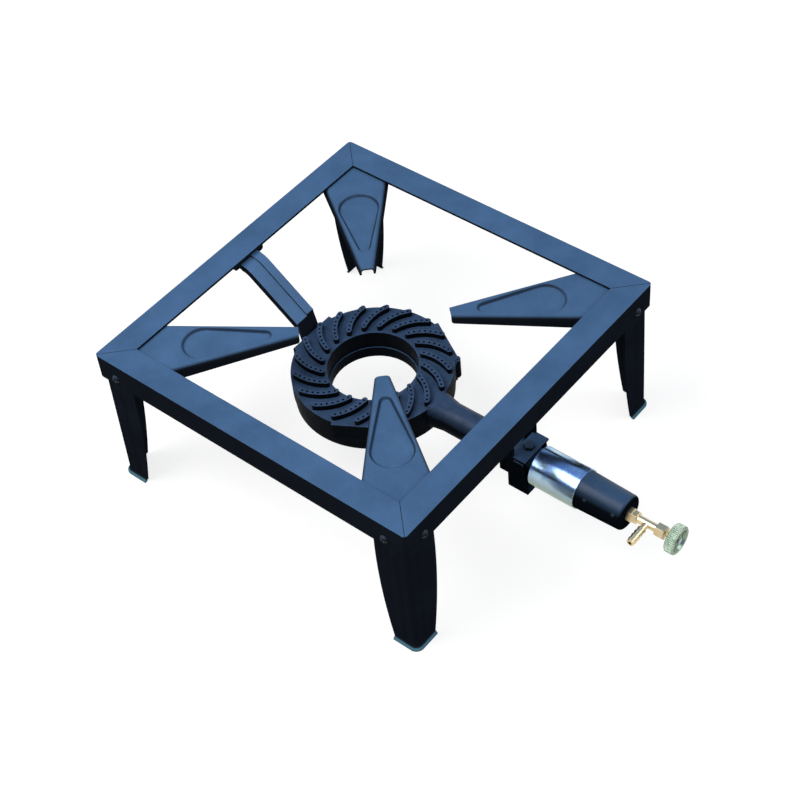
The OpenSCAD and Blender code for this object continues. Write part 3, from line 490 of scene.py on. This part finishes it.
# %% Hand out the finishes
CORNERS = ("front_left", "front_right", "back_right", "back_left")
FINISHES = {
    rail_paint: ["rail_front", "rail_right", "rail_back", "rail_left"],
    leg_paint: ["leg_" + corner for corner in CORNERS],
    support_paint: ["pan_support_" + corner for corner in CORNERS],
    strap_paint: ["support_strap"],
    black_iron: ["neck_stirrup", "mixer_tube"],
    bolt_black: ["leg_bolts", "leg_nuts", "strap_bolt", "stirrup_bolt", "tube_screws"],
    cast_iron: ["burner_body", "burner_base"],
    zinc: ["base_screws", "knob_screw"],
    chrome: ["air_shutter"],
    brass: ["gas_jet", "jam_nut", "valve_body", "packing_nut", "valve_spindle"],
    packing: ["packing_ring"],
    knob_metal: ["knob"],
}
for finish, names in FINISHES.items():
    for name in names:
        nodes[name].data.materials.clear()
        nodes[name].data.materials.append(finish)
finished = sorted(name for names in FINISHES.values() for name in names)
print("pieces with a finish:", len(finished), "left over:", sorted(set(nodes) - set(finished)))


# %% [markdown]
# ## The pan supports
#
# Each pan support is one blank of 2 mm sheet: its sides are folded down, and a teardrop is pressed
# into its top to stiffen it. A press leaves soft walls and round folds, which the CAD solid has only
# in outline. So the sheet's outer face is worked out as a grid, line by line from one flange over
# the top to the other flange, and the wall's thickness is then taken inwards along its normals.

# %% Sizes of the blank
TIP_AT, TIP_HALF = 0.077, 0.008
ROOT_LINE = 0.2573869
SIDE_SLOPE = 0.193566
SHEET_TOP, SHEET_WALL, FOLD_RADIUS = 0.177, 0.002, 0.005
FLANGE_AT_TIP, FLANGE_AT_ROOT, FLANGE_RUN = 0.010, 0.015, 0.130182
BIG_AT, BIG_RADIUS = 0.173335, 0.023
SMALL_AT, SMALL_RADIUS = 0.110847, 0.0075
PRESS_DEPTH, PRESS_WALL = 0.0034, 0.0036
TIP_ROUND = 0.003
FLANGE_LINES, FOLD_LINES, TOP_LINES = 6, 10, 40
print("a pan support reaches", round(1000 * (ROOT_LINE - TIP_AT)), "mm from the corner")


# %% The pressed teardrop
def teardrop_distance(along, across):
    """Signed distance to a teardrop made of two circles and their tangents: to a circle behind its
    end of the tangents, and to the tangent line between them; negative inside."""
    gap = BIG_AT - SMALL_AT
    lean = (BIG_RADIUS - SMALL_RADIUS) / gap
    level = math.sqrt(1 - lean * lean)
    side, ahead = np.abs(across), BIG_AT - along
    place = -lean * side + level * ahead
    to_big = np.hypot(side, ahead) - BIG_RADIUS
    to_small = np.hypot(side, ahead - gap) - SMALL_RADIUS
    to_line = level * side + lean * ahead - BIG_RADIUS
    return np.where(place < 0, to_big, np.where(place > level * gap, to_small, to_line))


def soft_step(value):
    """0 below 0, 1 above 1, and the cubic 3v^2 - 2v^3 between."""
    held = np.clip(value, 0.0, 1.0)
    return held * held * (3.0 - 2.0 * held)


# %% The outer face of the sheet
def half_section():
    """For each line from the flange's edge to the middle: the share of the half width and the
    inset that give its place across, its height over the fold, and its share up the flange."""
    up = np.linspace(0.0, 1.0, FLANGE_LINES, endpoint=False)
    turn = np.linspace(0.0, np.pi / 2, FOLD_LINES, endpoint=False)
    inwards = np.linspace(0.0, 1.0, TOP_LINES)
    on_flange = np.zeros(FLANGE_LINES)
    share = np.concatenate((np.ones(FLANGE_LINES + FOLD_LINES), 1.0 - inwards))
    inset = np.concatenate((on_flange, FOLD_RADIUS * (np.cos(turn) - 1.0),
                            -FOLD_RADIUS * (1.0 - inwards)))
    rise = np.concatenate((on_flange, FOLD_RADIUS * np.sin(turn), np.full(TOP_LINES, FOLD_RADIUS)))
    flange = np.concatenate((up, np.ones(FOLD_LINES + TOP_LINES)))
    return share, inset, rise, flange


def support_grid(steps=150):
    """Rows run across, columns run from the tip to the slanted root. Across = share x half width +
    inset, and each row ends where along + across meets the root line. Height = the flange's edge,
    rounded at the tip, up to the fold, the fold's arc, then the top less the pressed depth."""
    share, inset, rise, flange = (part[:, None] for part in half_section())
    end = (ROOT_LINE - share * (TIP_HALF - SIDE_SLOPE * TIP_AT) - inset) / (1 + share * SIDE_SLOPE)
    along = TIP_AT + (end - TIP_AT) * np.linspace(0.0, 1.0, steps)[None, :]
    across = share * (TIP_HALF + SIDE_SLOPE * (along - TIP_AT)) + inset
    depth = FLANGE_AT_TIP + (FLANGE_AT_ROOT - FLANGE_AT_TIP) * (along - TIP_AT) / FLANGE_RUN
    short = np.clip(TIP_ROUND - (along - TIP_AT), 0.0, None)
    lost = TIP_ROUND - np.sqrt(TIP_ROUND ** 2 - short ** 2)
    depth = np.minimum(depth, FLANGE_AT_ROOT) - lost
    fold = SHEET_TOP - FOLD_RADIUS
    low = SHEET_TOP - depth
    height = low + (fold - low) * flange + rise
    height = height - PRESS_DEPTH * soft_step(-teardrop_distance(along, across) / PRESS_WALL)
    half = np.stack((along, across, height), axis=-1)
    other = (half * np.array((1.0, -1.0, 1.0)))[::-1]
    return np.concatenate((half, other[1:]))


# %% From a face to a closed sheet
def face_normals(grid):
    """Normal at each grid point: the cross product of the steps along and across."""
    down, along = np.gradient(grid, axis=0), np.gradient(grid, axis=1)
    normal = np.cross(down, along)
    return normal / np.linalg.norm(normal, axis=-1, keepdims=True)


def sheet_mesh(name, grid, wall):
    """Closes an open grid into sheet: the inner face lies one wall inside along the normals, and a
    strip of quads joins both round the border. Border edges are sharp and the rest is smooth."""
    normal = face_normals(grid)
    if normal[..., 2].mean() < 0:
        normal = -normal
    rows, columns = grid.shape[:2]
    count = rows * columns
    points = np.concatenate((grid.reshape(-1, 3), (grid - wall * normal).reshape(-1, 3)))
    at = np.arange(count).reshape(rows, columns)
    outer = np.stack((at[:-1, :-1], at[1:, :-1], at[1:, 1:], at[:-1, 1:]), axis=-1).reshape(-1, 4)
    border = np.concatenate((at[0, :-1], at[:-1, -1], at[-1, :0:-1], at[:0:-1, 0]))
    ahead = np.roll(border, -1)
    rim = np.stack((border, ahead, ahead + count, border + count), axis=-1)
    first = grid.reshape(-1, 3)[outer[0]]
    faces_out = np.cross(first[1] - first[0], first[2] - first[1]) @ normal.reshape(-1, 3)[outer[0][0]]
    if faces_out < 0:
        outer = outer[:, ::-1]
    else:
        rim = rim[:, ::-1]
    faces = np.concatenate((outer, outer[:, ::-1] + count, rim[:, ::-1]))
    mesh = bpy.data.meshes.new(name)
    mesh.from_pydata(points.tolist(), [], faces.tolist())
    mesh.polygons.foreach_set("use_smooth", np.ones(len(faces), dtype=bool))
    ends = np.empty(len(mesh.edges) * 2, dtype=np.int64)
    mesh.edges.foreach_get("vertices", ends)
    on_border = np.zeros(2 * count, dtype=bool)
    on_border[border] = on_border[border + count] = True
    mesh.edges.foreach_set("use_edge_sharp", on_border[ends].reshape(-1, 2).all(axis=1))
    mesh.update()
    return mesh


# %% Press the four supports
def put_in_corner(grid, degrees):
    """Turns the grid about the frame's middle and shifts it to where the middle lies."""
    turn = math.radians(degrees)
    out = grid.copy()
    out[..., 0] = grid[..., 0] * math.cos(turn) - grid[..., 1] * math.sin(turn)
    out[..., 1] = grid[..., 0] * math.sin(turn) + grid[..., 1] * math.cos(turn) + FRAME_MIDDLE_Y
    return out


support_face = support_grid()
for number, corner in enumerate(CORNERS):
    mesh = sheet_mesh("pressed_support_" + corner, put_in_corner(support_face, 225 + 90 * number),
                      SHEET_WALL)
    mesh.materials.append(support_paint)
    pressed = bpy.data.objects.new("pressed_support_" + corner, mesh)
    bpy.context.scene.collection.objects.link(pressed)
    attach(pressed, "stand")
    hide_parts("pan_support_" + corner)
print("pressed four supports of", len(mesh.polygons), "faces each")

# %% [markdown]
# ## The floor and the light
#
# The range stands on a white studio floor. If the lamps alone made it white, they would wash out
# the paint, so the floor glows a little for what the camera and mirrors see and stays a plain grey
# for the light that it throws back. The shadow is still there, because the grey part of the floor
# is lit by the lamps as usual.


# %% Lay the floor
FLOOR_HALF = 12.0
FLOOR_GLOW, MIRRORED_GLOW = 0.78, 0.55


def make_floor_material():
    """Grey that takes the shadow, plus a glow only for camera, glossy and transmission rays."""
    made, tree = start_material("studio_floor")
    ray = add(tree, "LightPath").outputs
    mirrored = arithmetic(tree, "MAXIMUM", ray["Is Glossy Ray"], ray["Is Transmission Ray"])
    glow = arithmetic(tree, "ADD", arithmetic(tree, "MULTIPLY", ray["Is Camera Ray"], FLOOR_GLOW),
                      arithmetic(tree, "MULTIPLY", mirrored, MIRRORED_GLOW))
    glow = add(tree, "Emission", inputs={"Color": colour(1, 1, 1), "Strength": glow})
    grey = add(tree, "BsdfDiffuse", inputs={"Color": colour(0.34, 0.34, 0.34)})
    both = add(tree, "AddShader", inputs={0: glow.outputs[0], 1: grey.outputs[0]})
    out = tree.nodes.new("ShaderNodeOutputMaterial")
    tree.links.new(both.outputs[0], out.inputs["Surface"])
    return made


corners = [(-FLOOR_HALF, -FLOOR_HALF, 0), (FLOOR_HALF, -FLOOR_HALF, 0),
           (FLOOR_HALF, FLOOR_HALF, 0), (-FLOOR_HALF, FLOOR_HALF, 0)]
floor_mesh = bpy.data.meshes.new("floor")
floor_mesh.from_pydata(corners, [], [(0, 1, 2, 3)])
floor_mesh.materials.append(make_floor_material())
floor = bpy.data.objects.new("floor", floor_mesh)
bpy.context.scene.collection.objects.link(floor)
print("floor laid,", 2 * FLOOR_HALF, "m wide")


# %% Light the studio
def hang_lamp(name, place, aim, size, watts, tint):
    """A square soft lamp at a place, turned so that it shines at its aim."""
    data = bpy.data.lights.new(name, "AREA")
    data.shape, data.size = "SQUARE", size
    data.energy, data.color = watts, tint
    lamp = bpy.data.objects.new(name, data)
    bpy.context.scene.collection.objects.link(lamp)
    place = Vector(place)
    turn = (place - Vector(aim)).to_track_quat("Z", "Y").to_matrix().to_4x4()
    turn.translation = place
    lamp.matrix_world = turn


hang_lamp("key_lamp", (-1.2, 0.9, 2.3), (0, 0, 0.1), 1.8, 46.0, (1.0, 0.99, 0.97))
hang_lamp("fill_lamp", (1.2, -2.2, 2.2), (0, 0, 0.1), 2.4, 34.0, (0.93, 0.97, 1.0))

world = bpy.data.worlds.new("studio")
bpy.context.scene.world = world
world.use_nodes = True
sky = world.node_tree
sky.nodes.clear()
ray = add(sky, "LightPath").outputs
mirrored = arithmetic(sky, "MAXIMUM", ray["Is Glossy Ray"], ray["Is Transmission Ray"])
direction = add(sky, "SeparateXYZ", inputs={0: add(sky, "TexCoord").outputs["Generated"]}).outputs["Z"]
overhead = mix_colours(sky, stretch(sky, direction, 0.05, 0.6), colour(0.80, 0.86, 0.90),
                       colour(0.22, 0.33, 0.56))
strength = mix_colours(sky, mirrored, colour(0.34, 0.35, 0.37), overhead)
strength = mix_colours(sky, ray["Is Camera Ray"], strength, colour(1, 1, 1))
background = add(sky, "Background", inputs={"Color": strength, "Strength": 1.0})
sky.links.new(background.outputs[0], sky.nodes.new("ShaderNodeOutputWorld").inputs["Surface"])
bpy.context.scene.view_settings.view_transform = "Standard"
